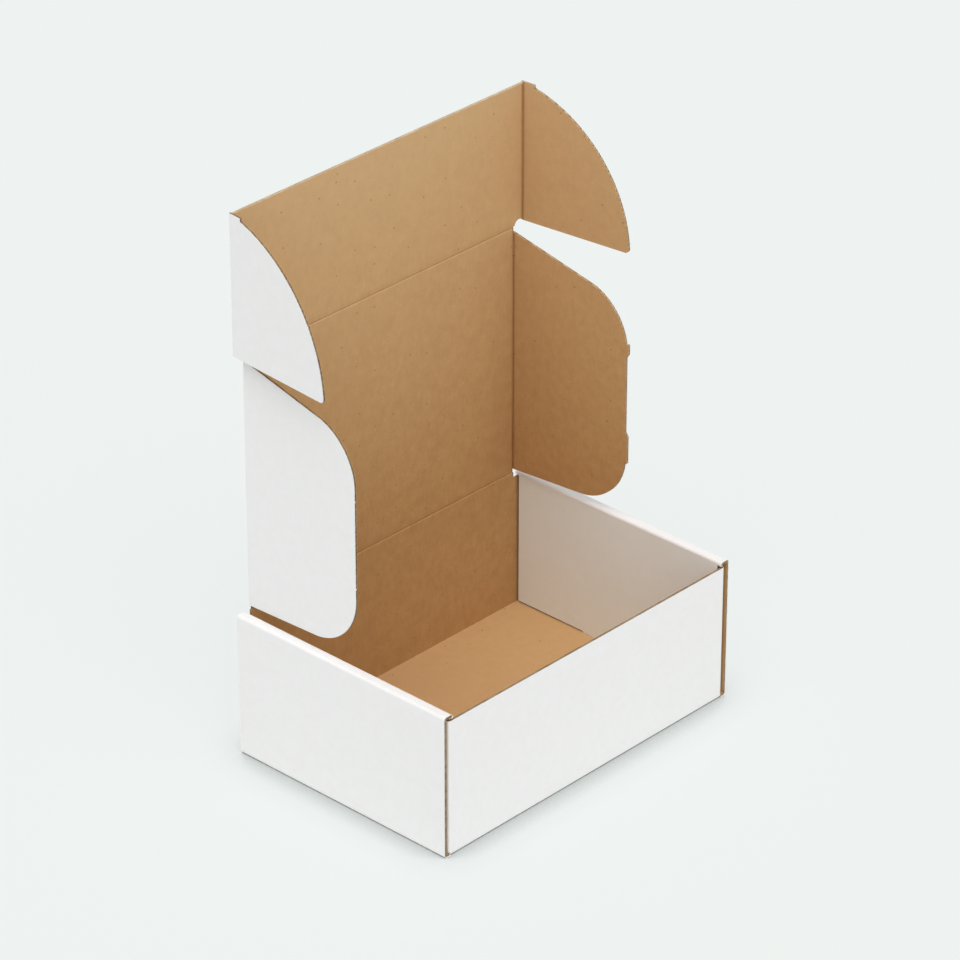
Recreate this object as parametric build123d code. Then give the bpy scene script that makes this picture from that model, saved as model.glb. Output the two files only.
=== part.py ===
from build123d import *
import math
import os

# A roll-over mailing box, folded from one sheet of corrugated board, standing open.
# X runs along the box, the front looks to -Y, and the origin is under the middle of the floor.

# The board and the space inside the tray
board = 1.8
inside_length = 256.4
inside_depth = 180.8
inside_height = 102.7

# Folded corners: outside radius, and the radius of the crushed crease inside
bend_radius = 1.8
crease_radius = 0.3

# A hinged panel ends in a blunt wedge, just short of its fold line
fold_gap = 0.25
tip_land = 0.1

# Clearances between layers of board
layer_play = 0.2
lid_play = 2.7
flap_play = 0.4
floor_play = 0.3
inner_wall_lift = 1.0
wall_end_play = 1.0

# Heights of the cut edges, against the rim of the rolled side walls
front_drop = 4.3
hinge_rise = 0.6

# End flaps of the front and back walls, held in the side walls
end_flap_gap = 36.0
end_flap_round = 12.0

# Tabs under the inner side walls, locked in slots in the floor
tab_length = 58.0
tab_round = 1.5
tab_recess = 0.3

# The lid's own ears
ear_floor_gap = 4.0
ear_round = 40.0
ear_lift = 2.8
ear_top_gap = 3.1
ear_low_slope = 3.4
ear_top_slope = 12.7
ear_flare_angle = 1.4

# Two friction tabs on the free edge of the right lid ear, their ends given as shares of the lid's depth
friction_tab_out = 2.0
friction_tab_slant = 3.0
low_tab_share = (0.235, 0.36)
high_tab_share = (0.66, 0.715)

# The tuck flap, and its quarter-round ears
flap_ground_gap = 2.3
tuck_stub = 10.0
tuck_step = 2.3
tuck_arc_inset = 15.5
tuck_slope = 1.0
tuck_tip_round = 3.0
tuck_flare_angle = 5.3

# Rounded ends of the cuts between the lid ears and the tuck ears
relief_radius = 4.5
relief_out = 4.5

# How far a cutting tool runs past the board
overrun = 1.0

# Layers of a side wall, counted outwards from the middle of the box
inner_wall_in = inside_length / 2
inner_wall_out = inner_wall_in + board
end_flap_in = inner_wall_out + layer_play
end_flap_out = end_flap_in + board
tuck_in = end_flap_out + layer_play
tuck_out = tuck_in + board
outer_wall_in = tuck_out + layer_play
half_length = outer_wall_in + board

# Overall depth and heights
wall_in = inside_depth / 2
half_depth = wall_in + board
rim = board + inside_height
front_top = rim - front_drop
end_flap_length = half_depth - end_flap_gap / 2

# Fold lines run through the middle of the board
fold_y = half_depth - board / 2
hinge_z = rim + hinge_rise
ear_x = inner_wall_in - lid_play - board / 2
tuck_x = tuck_in + board / 2
lid_depth = 2 * half_depth + flap_play
flap_fold_z = hinge_z + lid_depth

# The closed lid ears stop above the floor, the closed flap stops above the ground,
# and the tuck ears pass under the rolled rim
ear_reach = hinge_z - board - ear_floor_gap
flap_height = hinge_z - flap_ground_gap
tuck_drop = hinge_z - rim + board + flap_play
tuck_arc = math.hypot(flap_height - tuck_step, tuck_stub + tuck_arc_inset)

# The upright lid and everything hinged to it is drawn flat on this plane
lid_plane = Plane(origin=(0, fold_y, hinge_z), x_dir=(1, 0, 0), z_dir=(0, -1, 0))


def rounded(sketch, point, radius):
    """The sketch with its corner nearest to the point rounded."""
    return fillet(sketch.vertices().sort_by_distance((*point, 0))[0], radius)


def sheet(sketch):
    """Board of full thickness, centred on the lid's plane."""
    return extrude(lid_plane * sketch, amount=board / 2, both=True)


def fold_cut(origin, outwards, length):
    """What is cut from a panel's edge so that it can fold either way about the line through origin."""
    across = Vector(*outwards)
    far = board / 2 + overrun
    wedge = make_face(
        Polyline(
            (-fold_gap, tip_land),
            (overrun, tip_land),
            (overrun, far),
            (tip_land - fold_gap - far, far),
            close=True,
        )
    )
    wedges = wedge + mirror(wedge, about=Plane.XZ)
    place = Plane(origin=origin, x_dir=across, z_dir=across.cross(Vector(0, 1, 0)))
    return extrude(place * wedges, amount=length / 2, both=True)


def box_between(low, high):
    """A block between two opposite corners."""
    size = [b - a for a, b in zip(low, high)]
    middle = [(a + b) / 2 for a, b in zip(low, high)]
    return Pos(*middle) * Box(*size)


def both_sides(part):
    """The part and its mirror image across the middle of the box."""
    return part + mirror(part, about=Plane.YZ)


def rolled_side():
    """Half of the floor, an outer side wall, the rolled rim and the inner side wall, as one bent strip."""
    inner_bottom = board + inner_wall_lift
    section = make_face(
        Polyline(
            (0, 0),
            (half_length, 0),
            (half_length, rim),
            (inner_wall_in, rim),
            (inner_wall_in, inner_bottom),
            (inner_wall_out, inner_bottom),
            (inner_wall_out, rim - board),
            (outer_wall_in, rim - board),
            (outer_wall_in, board),
            (0, board),
            close=True,
        )
    )
    for corner in [(half_length, 0), (half_length, rim), (inner_wall_in, rim)]:
        section = rounded(section, corner, bend_radius)
    for corner in [(inner_wall_out, rim - board), (outer_wall_in, rim - board), (outer_wall_in, board)]:
        section = rounded(section, corner, crease_radius)
    strip = extrude(Plane.XZ * section, amount=half_depth, both=True)
    # the inner wall stands between the front and back walls
    for end in (-1, 1):
        near = wall_in - wall_end_play
        strip -= box_between(
            (inner_wall_in - overrun, min(end * near, end * (half_depth + overrun)), 0),
            (inner_wall_out + layer_play / 2, max(end * near, end * (half_depth + overrun)), rim - board),
        )
    return strip


def floor_bands():
    """The strips of floor that the front and back walls bend up from, taken out of the side sections."""
    band = box_between(
        (-outer_wall_in, wall_in, -overrun),
        (outer_wall_in, half_depth + overrun, board),
    )
    return band + mirror(band, about=Plane.XZ)


def wall_foot():
    """The foot of the back wall, bent up from the floor."""
    lap = 2 * board
    top = board + floor_play
    section = make_face(
        Polyline(
            (wall_in - lap, 0),
            (half_depth, 0),
            (half_depth, top),
            (wall_in, top),
            (wall_in, board),
            (wall_in - lap, board),
            close=True,
        )
    )
    section = rounded(section, (half_depth, 0), bend_radius)
    return extrude(Plane.YZ * section, amount=end_flap_out - bend_radius, both=True)


def wall_with_end_flaps():
    """The back wall up to its cut edge, with the end flaps that fold forward into the side walls."""
    section = make_face(
        Polyline(
            (0, half_depth),
            (end_flap_out, half_depth),
            (end_flap_out, half_depth - end_flap_length),
            (end_flap_in, half_depth - end_flap_length),
            (end_flap_in, wall_in),
            (0, wall_in),
            close=True,
        )
    )
    section = rounded(section, (end_flap_out, half_depth), bend_radius)
    section = rounded(section, (end_flap_in, wall_in), crease_radius)
    bottom = board + floor_play
    flap = extrude(Plane.XY.offset(bottom) * section, amount=front_top - bottom)
    free_end = flap.faces().sort_by(Axis.Y)[0]
    corners = free_end.edges().filter_by(Axis.X)
    return both_sides(fillet(corners, end_flap_round))


def locking_tabs():
    """The tab under each inner side wall."""
    tab = box_between(
        (inner_wall_in, -tab_length / 2, tab_recess),
        (inner_wall_out, tab_length / 2, board + inner_wall_lift + overrun),
    )
    tab = fillet(tab.faces().sort_by(Axis.Z)[0].edges().filter_by(Axis.X), tab_round)
    return both_sides(tab)


def tab_slots():
    """The slots in the floor that the tabs lock into."""
    slot = box_between(
        (inner_wall_in - layer_play, -tab_length / 2 - layer_play, -overrun),
        (inner_wall_out + layer_play, tab_length / 2 + layer_play, board + floor_play / 2),
    )
    return both_sides(slot)


def hinge_tongue():
    """The middle of the back wall above its end flaps, up to the lid's fold."""
    tongue = box_between((-ear_x, wall_in, front_top), (ear_x, half_depth, hinge_z - fold_gap))
    return tongue - fold_cut((0, fold_y, hinge_z), (0, 0, 1), 2 * ear_x + overrun)


def make_tray():
    """The tray: floor, front and back walls, and rolled side walls, one folded sheet."""
    tray = both_sides(rolled_side()) - floor_bands() - tab_slots() + locking_tabs()
    wall = wall_foot() + wall_with_end_flaps()
    return tray + mirror(wall, about=Plane.XZ) + (wall + hinge_tongue())


def reliefs():
    """The rounded inner ends of the cuts beside the tuck flap's fold."""
    relief = Pos(ear_x + relief_out, lid_depth) * Circle(relief_radius)
    return both_sides(relief)


def make_lid():
    """The lid panel, with a fold on each of its four sides."""
    width = 2 * (ear_x - fold_gap)
    height = lid_depth - 2 * fold_gap
    lid = sheet(Pos(0, lid_depth / 2) * Rectangle(width, height) - reliefs())
    lid -= fold_cut((0, fold_y, hinge_z), (0, 0, -1), width + overrun)
    lid -= fold_cut((0, fold_y, flap_fold_z), (0, 0, 1), width + overrun)
    for side in (-1, 1):
        lid -= fold_cut((side * ear_x, fold_y, hinge_z + lid_depth / 2), (side, 0, 0), lid_depth)
    return lid


def make_tuck_flap():
    """The flap along the lid's front edge, a little wider than the lid."""
    neck = 2 * (ear_x + relief_out)
    tongue = Pos(0, lid_depth + (fold_gap + tuck_drop) / 2) * Rectangle(neck, tuck_drop - fold_gap)
    width = 2 * (tuck_x - fold_gap)
    blade = Pos(0, lid_depth + (tuck_drop + flap_height) / 2) * Rectangle(width, flap_height - tuck_drop)
    flap = sheet(tongue + blade - reliefs())
    flap -= fold_cut((0, fold_y, flap_fold_z), (0, 0, -1), width)
    for side in (-1, 1):
        place = (side * tuck_x, fold_y, flap_fold_z + flap_height / 2)
        flap -= fold_cut(place, (side, 0, 0), flap_height + overrun)
    return flap


def folded_forward(ear, fold_x, flare):
    """A right-hand ear turned about its upright fold until it stands flare degrees short of square."""
    return ear.rotate(Axis((fold_x, fold_y, 0), (0, 0, 1)), flare - 90)


def lid_ear_outline():
    """The right lid ear laid flat: a straight free edge between two large round corners."""
    low_end = ear_lift + ear_reach * math.tan(math.radians(ear_low_slope))
    high_start = lid_depth - ear_top_gap
    high_end = high_start - ear_reach * math.tan(math.radians(ear_top_slope))
    outline = make_face(
        Polyline(
            (fold_gap, ear_lift),
            (ear_reach, low_end),
            (ear_reach, high_end),
            (fold_gap, high_start),
            close=True,
        )
    )
    outline = rounded(outline, (ear_reach, low_end), ear_round)
    return rounded(outline, (ear_reach, high_end), ear_round)


def friction_tab_outlines():
    """The two tabs on an ear's free edge, each slanted on the end that faces the other."""
    tip = ear_reach + friction_tab_out
    root = ear_reach - friction_tab_out
    outlines = []
    for square_end, slant_end, slant in [
        (low_tab_share[0], low_tab_share[1], -friction_tab_slant),
        (high_tab_share[1], high_tab_share[0], friction_tab_slant),
    ]:
        square_at = square_end * lid_depth
        slant_at = slant_end * lid_depth
        tab = Polyline(
            (root, square_at),
            (tip, square_at),
            (tip, slant_at + slant),
            (ear_reach, slant_at),
            (root, slant_at),
            close=True,
        )
        outlines.append(make_face(tab))
    return outlines[0] + outlines[1]


def make_lid_ear(outline):
    """A right lid ear, folded nearly square to the lid."""
    ear = sheet(Pos(ear_x, 0) * outline)
    ear -= fold_cut((ear_x, fold_y, hinge_z + lid_depth / 2), (-1, 0, 0), lid_depth)
    return folded_forward(ear, ear_x, ear_flare_angle)


def make_tuck_ear():
    """The right tuck ear: a quarter round, with a short stub in line with the flap's free edge."""
    reach = tuck_arc - tuck_arc_inset
    rise = reach * math.tan(math.radians(tuck_slope))
    field = make_face(
        Polyline(
            (fold_gap, tuck_drop),
            (reach + overrun, tuck_drop + rise),
            (reach + overrun, flap_height),
            (fold_gap, flap_height),
            close=True,
        )
    )
    quarter = field & (Pos(-tuck_arc_inset, 0) * Circle(tuck_arc))
    quarter = rounded(quarter, (reach, tuck_drop + rise), tuck_tip_round)
    stub = Pos(0, flap_height / 2) * Rectangle(2 * tuck_stub, flap_height)
    outline = quarter + (field & stub)
    ear = sheet(Pos(tuck_x, lid_depth) * outline)
    ear -= fold_cut((tuck_x, fold_y, flap_fold_z + flap_height / 2), (-1, 0, 0), flap_height + overrun)
    return folded_forward(ear, tuck_x, tuck_flare_angle)


def left_of(part):
    """The left-hand twin of a right-hand part."""
    return mirror(part, about=Plane.YZ)


lid_ear = lid_ear_outline()
tuck_ear = make_tuck_ear()

nodes = {
    "tray": make_tray(),
    "lid": make_lid(),
    "tuck_flap": make_tuck_flap(),
    "left_lid_ear": left_of(make_lid_ear(lid_ear)),
    "right_lid_ear": make_lid_ear(lid_ear + friction_tab_outlines()),
    "left_tuck_ear": left_of(tuck_ear),
    "right_tuck_ear": tuck_ear,
}

os.makedirs("parts", exist_ok=True)
for name, part in nodes.items():
    export_step(part, f"parts/{name}.step")
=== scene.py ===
import math

import bmesh
import bpy
from mathutils import Matrix, Vector


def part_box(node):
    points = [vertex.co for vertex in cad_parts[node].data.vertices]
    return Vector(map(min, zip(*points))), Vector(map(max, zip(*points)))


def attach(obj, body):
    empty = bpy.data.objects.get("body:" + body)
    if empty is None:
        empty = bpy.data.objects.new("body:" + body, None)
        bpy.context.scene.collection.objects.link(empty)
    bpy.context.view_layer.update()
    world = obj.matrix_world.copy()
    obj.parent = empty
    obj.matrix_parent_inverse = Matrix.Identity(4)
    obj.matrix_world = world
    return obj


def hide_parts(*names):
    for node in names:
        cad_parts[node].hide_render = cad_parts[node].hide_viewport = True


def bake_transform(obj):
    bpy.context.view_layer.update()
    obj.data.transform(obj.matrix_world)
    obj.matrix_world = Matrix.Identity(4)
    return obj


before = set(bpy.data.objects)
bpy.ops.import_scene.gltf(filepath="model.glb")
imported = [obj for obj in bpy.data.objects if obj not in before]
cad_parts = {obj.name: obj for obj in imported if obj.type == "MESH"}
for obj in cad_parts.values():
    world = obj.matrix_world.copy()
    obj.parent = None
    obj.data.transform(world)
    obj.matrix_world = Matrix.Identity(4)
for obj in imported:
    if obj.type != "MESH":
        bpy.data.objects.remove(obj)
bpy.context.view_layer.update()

# A mailing box of corrugated board, white outside and brown inside, standing open.
# Shapes are drawn in millimetres, and become metres when they are finished.
MM = 0.001


def corners(node):
    """The lowest and the highest corner of a node at rest, in millimetres."""
    return [[round(part / MM, 2) for part in corner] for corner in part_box(node)]


tray_high = corners("tray")[1]
lid_low, lid_high = corners("lid")
flap_high = corners("tuck_flap")[1]

# The board: two liners with a fluted sheet between them, which the cutting die presses shut behind each cut
BOARD = round(lid_high[1] - lid_low[1], 2)
HALF = BOARD / 2
LINER = 0.22
MEDIUM = 0.2
FLUTE_PITCH = 3.0
WAVE_STEPS = 12
LEAST_STEPS = 4
PRESSED_BACK = 0.7
PRESSED_LEAST = 4 * PRESSED_BACK

# Cuts: the sunk band between the liners, and the softened corners
HOLLOW_EDGE = LINER + 0.1
HOLLOW_DEPTH = 0.35
SOFT = 0.15
SOFT_STEPS = 2
SHARP_CUT = 1.0

# The tray, worked out from its outer size
HALF_LENGTH = tray_high[0]
HALF_DEPTH = tray_high[1]
RIM = tray_high[2] - 0.35
FRONT_TOP = RIM - 4.3
WALL_FOOT = 2.1
FLOOR_SEAM = HALF_LENGTH - 5.0
BEND = 2.0
BEND_STEPS = 6
INNER_WALL = HALF_LENGTH - 7.8
INNER_WALL_END = HALF_DEPTH - 3.3
INNER_WALL_STEP = RIM - BOARD - 1.0
INNER_WALL_FOOT = 2.8
END_FLAP = HALF_LENGTH - 4.0
END_FLAP_END = 18.0
END_FLAP_ROUND = 12.0
TAB_HALF = 29.0
TAB_BOTTOM = 0.3
TAB_ROUND = 1.5
SLOT_PLAY = 0.2
SLOT_IN = INNER_WALL - SLOT_PLAY
SLOT_OUT = INNER_WALL + BOARD + SLOT_PLAY
SLOT_HALF = TAB_HALF + SLOT_PLAY

# Fold lines, in the middle of the board, and how far the panels stop short of them
FOLD_GAP = 0.25
FOLD_SLOPE = 0.8
FACE_GAP = FOLD_GAP + FOLD_SLOPE
WEDGE_TIP = HALF - FOLD_SLOPE
FOLD_Y = lid_high[1] - HALF
HINGE_Z = lid_low[2] - FOLD_GAP
FLAP_Z = lid_high[2] + FOLD_GAP
FLAP_TOP = flap_high[2]
EAR_X = lid_high[0] + FOLD_GAP
TUCK_X = flap_high[0] + FOLD_GAP

# The lid ears, measured out from their folds and up from the lid's own fold
EAR_REACH = RIM - 5.2
EAR_LOW = 2.8
EAR_LOW_END = 8.7
EAR_HIGH = FLAP_Z - HINGE_Z - 3.4
EAR_HIGH_END = EAR_HIGH - 22.08
EAR_ROUND = 40.0
EAR_FLARE = 1.4
FRICTION_TAB = 2.0
FRICTION_SLANT = 3.0
LOW_TAB = (43.43, 66.53)
HIGH_TAB = (132.13, 121.97)
NICKS = (54.9, 118.0)
NICK_HEIGHT = 1.0
NICK_OUT = 0.6

# The tuck ears, measured out from their folds and up from the flap's own fold
TUCK_LOW = 2.8
TUCK_HIGH = FLAP_TOP - FLAP_Z
TUCK_STUB = 10.0
TUCK_STUB_LOW = 2.97
TUCK_STEP = 2.3
TUCK_TIP = (88.09, 4.32)
TUCK_ARC_INSET = 15.5
TUCK_ARC_STEPS = 36
TUCK_TIP_ROUND = 3.0
TUCK_FLARE = 5.3

# The crushed hem along an ear's fold: how far it goes in between the liners, and stays inside the ear's ends
HEM_TUCK = 1.2
HEM_LOW = 0.1
HEM_HIGH = 0.4

# The round end of the cut between a lid ear and a tuck ear, and where it meets the flap's neck and shoulder
RELIEF = (TUCK_X - 4.0, FLAP_Z)
RELIEF_ROUND = 4.5
RELIEF_STEPS = 16
NECK_LOW = round(RELIEF[0] - math.sqrt(RELIEF_ROUND**2 - FOLD_GAP**2), 2)
RELIEF_OUT = round(RELIEF[0] + math.sqrt(RELIEF_ROUND**2 - TUCK_LOW**2), 2)

# Creases: how deep they dip, and the distances from the fold where they have dipped by a share of that
WHITE_DIP = 0.12
KRAFT_DIP = 0.42
CREASE_BANK = (0.7, 0.15)
CREASE_FALL = (0.3, 0.75)
CREASE_HEART = 0.15
FOLDED_CREST = 0.2
CREST_STEPS = 8
LONG_CREASE_END = EAR_X - 1.2

# How closely points and faces are told apart
CLOSE = 0.01
CUT_CLOSE = 0.1
WELD = 0.001
FACING = 0.9
FLAT = 0.9999
SHARP_FOLD = 38
FAR_OUT = 200.0

# Paper marks, in turns or cells per metre, and the part of the clouds that goes from dark to light
CLOUDS = {"Scale": 150.0, "Detail": 8.0, "Roughness": 0.65}
CLOUD_SPAN = (0.3, 0.7)
STREAKS = {"Scale": 1.0, "Detail": 4.0, "Roughness": 0.6}
STREAK_ALONG = 130.0
STREAK_ACROSS = 480.0
TOOTH = {"Scale": 1500.0, "Detail": 3.0, "Roughness": 0.65}
RAGGED = {"Scale": 900.0, "Detail": 2.0}
RAGGED_BY = (0.0009, 0.0009, 0.0009)
RIB_TURNS = 2 * math.pi / (FLUTE_PITCH * MM)

# Specks: cells per metre, size within a cell, and the share of the cells that have one
LARGE_SPECKS = (62.0, 0.048, 0.3)
SMALL_SPECKS = (190.0, 0.085, 0.14)
SMALL_SPECK_SHARE = 0.5
PALE_SPECKS = (120.0, 0.065, 0.14)
PALE_SHIFT = (0.31, 0.17, 0.23)
SPECK_HEART = 0.35

# Ways across and along a panel, for marks that lie flat on it
LEVEL_WAYS = ((1, 0, 0), (0, 1, 0))
UPRIGHT_WAYS = ((1, 1, 0), (0, 0, 1))

# Brown paper: where its clouds and streaks set in, and how strong its streaks are
KRAFT_SPAN = (0.28, 0.72)
KRAFT_STREAKS = (0.35, 0.75, 0.0, 0.2)
KRAFT_STREAK = (0.62, 0.394, 0.194, 1)
KRAFT_DARK_SPECK = (0.17, 0.085, 0.035, 1)
KRAFT_PALE_SPECK = (0.74, 0.56, 0.36, 1)
KRAFT_DARK, KRAFT_LIGHT = (0.443, 0.24, 0.0895, 1), (0.529, 0.303, 0.125, 1)
# The box's floor: the same brown paper painted lighter, as painted light inside the open box
LIT_FLOOR_DARK, LIT_FLOOR_LIGHT = (0.615, 0.377, 0.178, 1), (0.661, 0.412, 0.197, 1)

# Upright brown paper: painted light that pales it with height, and painted shade beside the folds
PAINTED_LIGHT_FROM = 120.0
PAINTED_LIGHT_TO = 390.0
PAINTED_LIGHT_SHARE = 0.5
PAINTED_LIGHT_KRAFT = (0.72, 0.488, 0.272, 1)
FOLD_SHADE_KRAFT = (0.29, 0.125, 0.035, 1)
LONG_FOLD_SHADE_BAND = 5.0
LONG_FOLD_SHADE = 0.17
EAR_FOLD_NEAR = 0.5
EAR_FOLD_FAR = 2.0
EAR_FOLD_SHADE = 0.6

# White paper
WHITE_STREAKS = (0.4, 0.8, 0.0, 0.3)
WHITE_STREAK = (0.855, 0.838, 0.828, 1)
WHITE_SPECK = (0.5, 0.4, 0.3, 1)
WHITE_DARK, WHITE_LIGHT = (0.86, 0.849, 0.847, 1), (0.885, 0.876, 0.876, 1)
# The inner wall's white, tinted cool to cancel the brown light bounced onto it: painted light
BOUNCE_TINT_DARK, BOUNCE_TINT_LIGHT = (0.832, 0.876, 0.862, 1), (0.857, 0.904, 0.892, 1)

# Cut board: its dark and light fibre, and the pale flecks where it is worn, in three tones by piece as
# painted shade and painted light: darkest on the tray, lighter on the left ears, lightest on the tuck flap
# and the right ears
TORN_SPAN = (0.3, 0.72)
SHADED_CUT_TONES = ((0.19, 0.128, 0.078, 1), (0.38, 0.28, 0.18, 1), (0.52, 0.4, 0.28, 1))
EAR_TONES = ((0.26, 0.175, 0.106, 1), (0.52, 0.38, 0.245, 1), (0.66, 0.53, 0.38, 1))
LIT_CUT_TONES = ((0.45, 0.325, 0.2, 1), (0.67, 0.525, 0.38, 1), (0.76, 0.65, 0.51, 1))

# The floor, in metres, and the pale tone behind the box
BACKDROP = (0.855, 0.896, 0.88, 1)
FLOOR_TONE = (0.79, 0.83, 0.818, 1)
FLOOR_ROUGH = 0.9
FLOOR_EVEN = 0.8
FLOOR_HALF = 12.0
FLOOR_CELLS = 8
FLOOR_DROP = 0.0002
CONTACT_REACH = 0.035
CONTACT_RAYS = 4
CONTACT_FALL = 2.5
CONTACT_DEPTH = 1.75

# Light all round, and the lamps: strength, width in degrees and the way they shine
AROUND_TONE = (1.0, 0.995, 0.99, 1)
AROUND_STRENGTH = 0.512
LAMPS = {
    "front lamp": (0.82, 60, (0.2, 0.8, -0.83)),
    "top lamp": (1.35, 50, (0.45, 0.14, -1.0)),
}

# The camera, in metres and degrees
SENSOR = 36.0
LENS = 189.26
CAMERA_PLACE = (-2.0705, -1.9358, 1.7719)
CAMERA_DOWN = 29.2539
CAMERA_ROUND = -46.8547
SIGHT = (0.05, 100.0)

# Places in a piece's list of finishes
WHITE, KRAFT, EDGE, WHITE_SIDE, KRAFT_FLOOR, WHITE_INSIDE = range(6)


# Finishes


def add(tree, kind, inputs=(), **settings):
    """A new node, with its settings, and its inputs linked or set."""
    made = tree.nodes.new("ShaderNode" + kind)
    for name, value in settings.items():
        setattr(made, name, value)
    for key, value in dict(inputs).items():
        if isinstance(value, bpy.types.NodeSocket):
            tree.links.new(value, made.inputs[key])
        else:
            made.inputs[key].default_value = value
    return made


def number(tree, operation, *values, clamp=False):
    """A number worked out from others."""
    return add(tree, "Math", enumerate(values), operation=operation, use_clamp=clamp).outputs[0]


def vector(tree, operation, *values):
    """A vector worked out from others, or the number that comes of a dot product or a length."""
    made = add(tree, "VectorMath", enumerate(values), operation=operation)
    return made.outputs["Value" if operation in ("DOT_PRODUCT", "LENGTH") else "Vector"]


def ranged(tree, value, start, end, first, last):
    """A number that goes from first to last while another goes from start to end."""
    return add(tree, "MapRange", enumerate((value, start, end, first, last))).outputs[0]


def tinted(tree, share, first, second):
    """A colour between two others."""
    return add(tree, "Mix", {0: share, 6: first, 7: second}, data_type="RGBA").outputs[2]


def marked(tree, under, mask, strength, colour):
    """A colour with marks of another on it."""
    return tinted(tree, number(tree, "MULTIPLY", mask, strength), under, colour)


def two_tones(tree, mask, span, dark, light):
    """A colour that goes from dark to light over a span of the mask."""
    ramp = add(tree, "ValToRGB", {0: mask})
    for stop, position, colour in zip(ramp.color_ramp.elements, span, (dark, light)):
        stop.position = position
        stop.color = colour
    return ramp.outputs[0]


def new_group(name, takes, gives):
    """An empty shader node group with named sockets, what it takes in and what it gives out."""
    tree = bpy.data.node_groups.new(name, "ShaderNodeTree")
    for socket in takes:
        tree.interface.new_socket(socket, in_out="INPUT", socket_type="NodeSocketVector")
    for socket in gives:
        tree.interface.new_socket(socket, in_out="OUTPUT", socket_type="NodeSocketFloat")
    start = tree.nodes.new("NodeGroupInput")
    end = tree.nodes.new("NodeGroupOutput")
    return tree, start.outputs, end.inputs


def specks(tree, place, scale, size, share):
    """A mask of small round specks, on a share of the cells."""
    inputs = {"Vector": place, "Scale": scale, "Randomness": 1.0}
    cells = add(tree, "TexVoronoi", inputs, voronoi_dimensions="2D").outputs
    spot = ranged(tree, cells["Distance"], size * SPECK_HEART, size, 1.0, 0.0)
    lot = add(tree, "SeparateColor", {0: cells["Color"]}).outputs[0]
    chosen = number(tree, "LESS_THAN", lot, share)
    return number(tree, "MULTIPLY", spot, chosen)


def make_paper_grain():
    """What the face of a liner shows: clouds, streaks along the paper, specks of fibre and a fine tooth."""
    takes = ["Place", "Sideways", "Lengthways", "Run"]
    gives = ["Cloud", "Streaks", "Dark specks", "Pale specks", "Tooth"]
    tree, taken, given = new_group("paper grain", takes, gives)
    place = taken["Place"]
    stretched = vector(tree, "MULTIPLY", place, taken["Run"])
    across = vector(tree, "DOT_PRODUCT", place, taken["Sideways"])
    along = vector(tree, "DOT_PRODUCT", place, taken["Lengthways"])
    flat = add(tree, "CombineXYZ", {0: across, 1: along}).outputs[0]
    ragged = add(tree, "TexNoise", {"Vector": place, **RAGGED}).outputs["Color"]
    torn = vector(tree, "ADD", flat, vector(tree, "MULTIPLY", ragged, RAGGED_BY))
    large = specks(tree, torn, *LARGE_SPECKS)
    small = specks(tree, torn, *SMALL_SPECKS)
    made = {
        "Cloud": add(tree, "TexNoise", {"Vector": place, **CLOUDS}).outputs[0],
        "Streaks": add(tree, "TexNoise", {"Vector": stretched, **STREAKS}).outputs[0],
        "Dark specks": number(tree, "MULTIPLY_ADD", small, SMALL_SPECK_SHARE, large, clamp=True),
        "Pale specks": specks(tree, vector(tree, "ADD", torn, PALE_SHIFT), *PALE_SPECKS),
        "Tooth": add(tree, "TexNoise", {"Vector": place, **TOOTH}).outputs[0],
    }
    for socket, value in made.items():
        tree.links.new(value, given[socket])
    return tree


def make_flute_ribs():
    """The faint ribs that flutes press into a liner. Across is the way over them, times turns per metre."""
    tree, taken, given = new_group("flute ribs", ["Place", "Across"], ["Ribs"])
    over = vector(tree, "DOT_PRODUCT", taken["Place"], taken["Across"])
    wave = number(tree, "SINE", over)
    tree.links.new(number(tree, "MULTIPLY_ADD", wave, 0.5, 0.5), given["Ribs"])
    return tree


PAPER_GRAIN = make_paper_grain()
FLUTE_RIBS = make_flute_ribs()


def new_finish(name, specular):
    """A new material, its nodes and its shader."""
    finish = bpy.data.materials.new(name)
    finish.use_nodes = True
    tree = finish.node_tree
    shader = tree.nodes["Principled BSDF"]
    shader.inputs["Specular IOR Level"].default_value = specular
    return finish, tree, shader


def place_on(tree):
    """Where a point is on the object."""
    return add(tree, "TexCoord").outputs["Object"]


def paper_nodes(tree, place, along, over_flutes, level=False):
    """The grain and the flute ribs of a liner, for one direction of the paper."""
    sideways, lengthways = LEVEL_WAYS if level else UPRIGHT_WAYS
    run = tuple(STREAK_ALONG if axis == along else STREAK_ACROSS for axis in "xyz")
    across = tuple(RIB_TURNS if axis == over_flutes else 0.0 for axis in "xyz")
    ways = {"Sideways": sideways, "Lengthways": lengthways, "Run": run}
    grain = add(tree, "Group", {"Place": place, **ways}, node_tree=PAPER_GRAIN)
    ribs = add(tree, "Group", {"Place": place, "Across": across}, node_tree=FLUTE_RIBS)
    return grain.outputs, ribs.outputs["Ribs"]


def set_surface(tree, shader, colour, grain, ribs, rough, tooth, depth):
    """Links colour, roughness and relief to the shader. Depth is the relief's, in metres."""
    tree.links.new(colour, shader.inputs["Base Color"])
    tree.links.new(ranged(tree, grain["Cloud"], *CLOUD_SPAN, *rough), shader.inputs["Roughness"])
    relief = number(tree, "MULTIPLY_ADD", grain["Tooth"], tooth, ribs)
    bump = add(tree, "Bump", {"Strength": 1.0, "Distance": depth, "Height": relief})
    tree.links.new(bump.outputs[0], shader.inputs["Normal"])


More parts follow.
